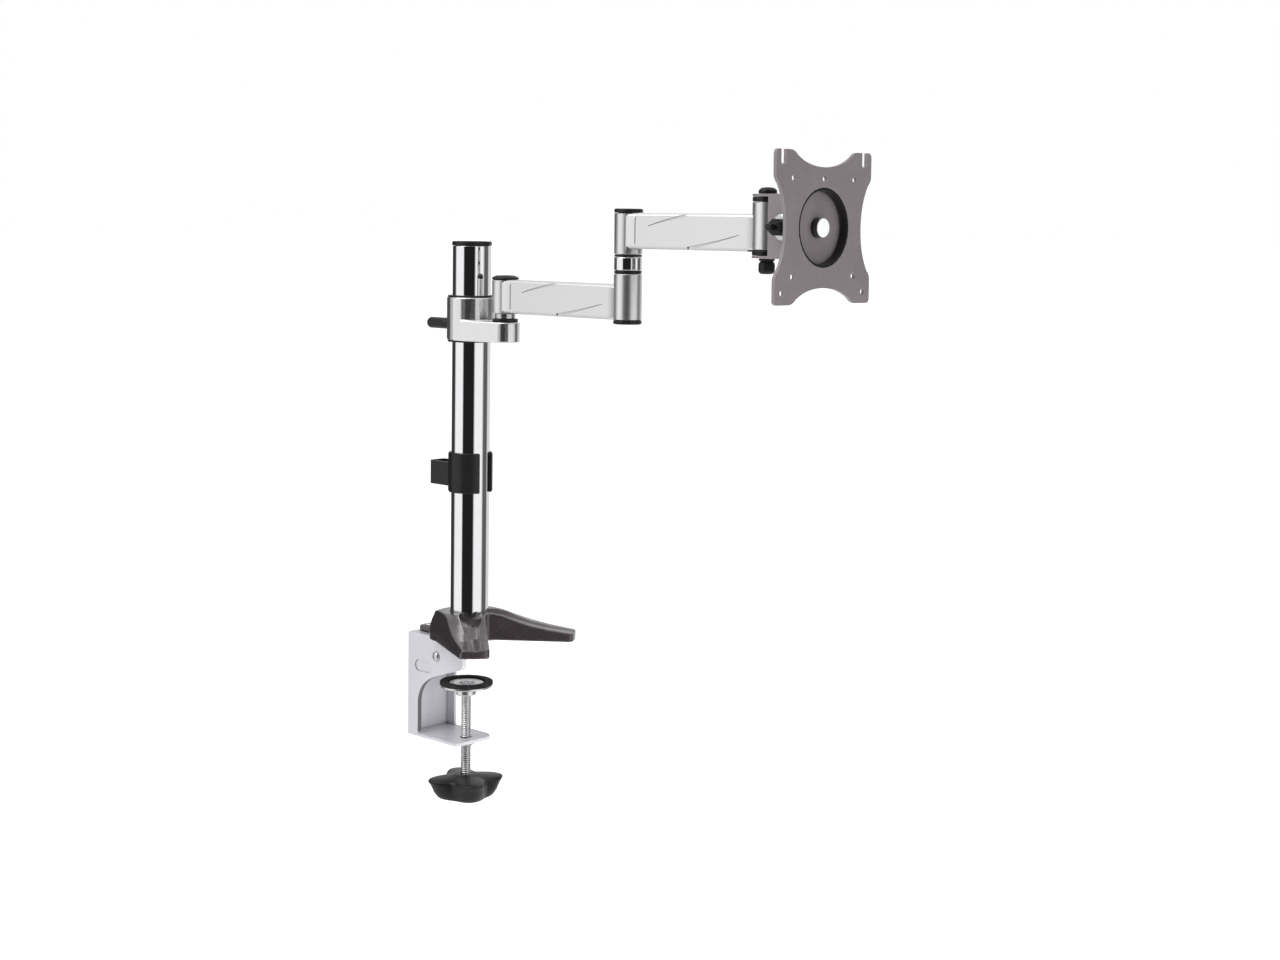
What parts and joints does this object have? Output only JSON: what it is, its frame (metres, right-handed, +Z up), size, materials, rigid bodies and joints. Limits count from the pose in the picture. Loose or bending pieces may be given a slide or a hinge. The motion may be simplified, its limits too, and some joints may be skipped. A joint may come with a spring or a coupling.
{
  "type": "monitor arm",
  "caption": "Desk-clamp monitor arm: chrome pole on a cast V foot, turning collar, folding links, pan and tilt head, waisted VESA plate, screw clamp.",
  "frame": {"origin": "pole axis at the plane of the foot's underside, where the arm stands on the desk", "axes": "+Z up along the pole; -Y forwards over the desk, from the pole to the VESA plate; +X makes the frame right-handed; the part is symmetric about X=0 apart from the clamp gusset, the cable clip and the knobs"},
  "size_m": [0.1406, 0.463, 0.5899],
  "materials": {
    "chrome": "polished",
    "cast_silver": "fine blasted and lacquered",
    "bracket_silver": "satin silver paint",
    "satin_steel": "turned",
    "dark_cast": "dark metallic lacquer",
    "plate_grey": "fine powder coat",
    "black_plastic": "fine moulded grain",
    "rubber": "matte",
    "zinc": "zinc plated"
  },
  "bodies": {
    "base": {"foot": "dark_cast", "foot_pad_left": "rubber", "foot_pad_right": "rubber", "pole": "chrome", "pole_cap": "black_plastic", "pole_plug": "zinc", "pole_bolt": "zinc", "clamp_bracket": "bracket_silver", "bracket_rivet": "zinc", "bracket_screw_1": "zinc", "bracket_screw_2": "zinc", "clamp_nut": "zinc"},
    "clamp_pad": {"pad_disc": "satin_steel", "pad_rubber": "rubber", "pad_socket": "satin_steel"},
    "clamp_screw": {"clamp_rod": "zinc", "clamp_knob": "black_plastic", "pad_end_screw": "zinc"},
    "cable_clip": {"cable_clip": "black_plastic"},
    "collar_bushes": {"collar_bush_top": "black_plastic", "collar_bush_bottom": "black_plastic"},
    "collar": {"collar": "cast_silver", "lower_pivot_bolt": "zinc", "lower_friction_ring": "black_plastic"},
    "lock_screw": {"lock_stud": "zinc", "lock_handle": "black_plastic"},
    "lower_arm": {"lower_arm": "cast_silver", "lower_pivot_bush": "zinc", "lower_pivot_nut": "zinc", "lower_pivot_cap": "black_plastic", "elbow_bottom_cap": "black_plastic", "elbow_nut": "zinc", "elbow_bush_lower": "black_plastic", "elbow_ring_lower": "black_plastic", "elbow_sleeve": "chrome"},
    "upper_arm": {"upper_arm": "cast_silver", "elbow_bolt": "zinc", "elbow_ring_upper": "black_plastic", "elbow_top_cap": "black_plastic", "wrist_bush_lower": "black_plastic", "wrist_bush_upper": "black_plastic"},
    "pan_head": {"pan_bracket": "plate_grey", "wrist_washer_upper": "black_plastic", "wrist_washer_lower": "black_plastic", "wrist_bolt": "zinc", "wrist_bolt_cap": "black_plastic", "wrist_cap_nut": "black_plastic", "tilt_pin": "zinc", "tilt_knob_washer": "zinc"},
    "tilt_block": {"tilt_block": "plate_grey", "tilt_washer_left": "zinc", "tilt_washer_right": "zinc", "plate_spindle": "satin_steel", "plate_washer": "black_plastic"},
    "tilt_knob": {"tilt_knob": "black_plastic"},
    "vesa_plate": {"vesa_plate": "plate_grey", "dish_ring": "black_plastic"}
  },
  "joints": [
    {"name": "pad_travel", "type": "slide", "parent": "base", "child": "clamp_pad", "axis": [0, 0, 1], "range_m": [-0.036, 0.005]},
    {"name": "clamp_screw_turn", "type": "hinge", "parent": "clamp_pad", "child": "clamp_screw", "pos_m": [0, 0.0034, -0.09], "axis": [0, 0, 1], "range_deg": [-6490, 910]},
    {"name": "cable_clip_slide", "type": "slide", "parent": "base", "child": "cable_clip", "axis": [0, 0, 1], "range_m": [-0.105, 0.098]},
    {"name": "collar_height", "type": "slide", "parent": "base", "child": "collar_bushes", "axis": [0, 0, 1], "range_m": [-0.098, 0.044]},
    {"name": "collar_swivel", "type": "hinge", "parent": "collar_bushes", "child": "collar", "pos_m": [0, 0, 0.29], "axis": [0, 0, 1], "continuous": true},
    {"name": "lock_screw_turn", "type": "hinge", "parent": "collar", "child": "lock_screw", "pos_m": [0, 0.03, 0.2876], "axis": [0, 1, 0], "range_deg": [0, 360]},
    {"name": "lower_arm_swing", "type": "hinge", "parent": "collar", "child": "lower_arm", "pos_m": [0, -0.045, 0.315], "axis": [0, 0, 1], "range_deg": [-120, 120]},
    {"name": "elbow_swing", "type": "hinge", "parent": "lower_arm", "child": "upper_arm", "pos_m": [0, -0.1967, 0.35], "axis": [0, 0, 1], "range_deg": [-150, 150]},
    {"name": "head_pan", "type": "hinge", "parent": "upper_arm", "child": "pan_head", "pos_m": [0, -0.3484, 0.38], "axis": [0, 0, -1], "range_deg": [-90, 90]},
    {"name": "head_tilt", "type": "hinge", "parent": "pan_head", "child": "tilt_block", "pos_m": [0, -0.3759, 0.3804], "axis": [-1, 0, 0], "range_deg": [-15, 15]},
    {"name": "tilt_knob_turn", "type": "hinge", "parent": "pan_head", "child": "tilt_knob", "pos_m": [-0.02, -0.3759, 0.3804], "axis": [1, 0, 0], "range_deg": [0, 360]},
    {"name": "plate_roll", "type": "hinge", "parent": "tilt_block", "child": "vesa_plate", "pos_m": [0, -0.4, 0.3804], "axis": [0, 1, 0], "continuous": true}
  ],
  "couplings": [
    {"joint": "clamp_screw_turn", "follows": "pad_travel", "rad_per_m": 3141.6}
  ]
}
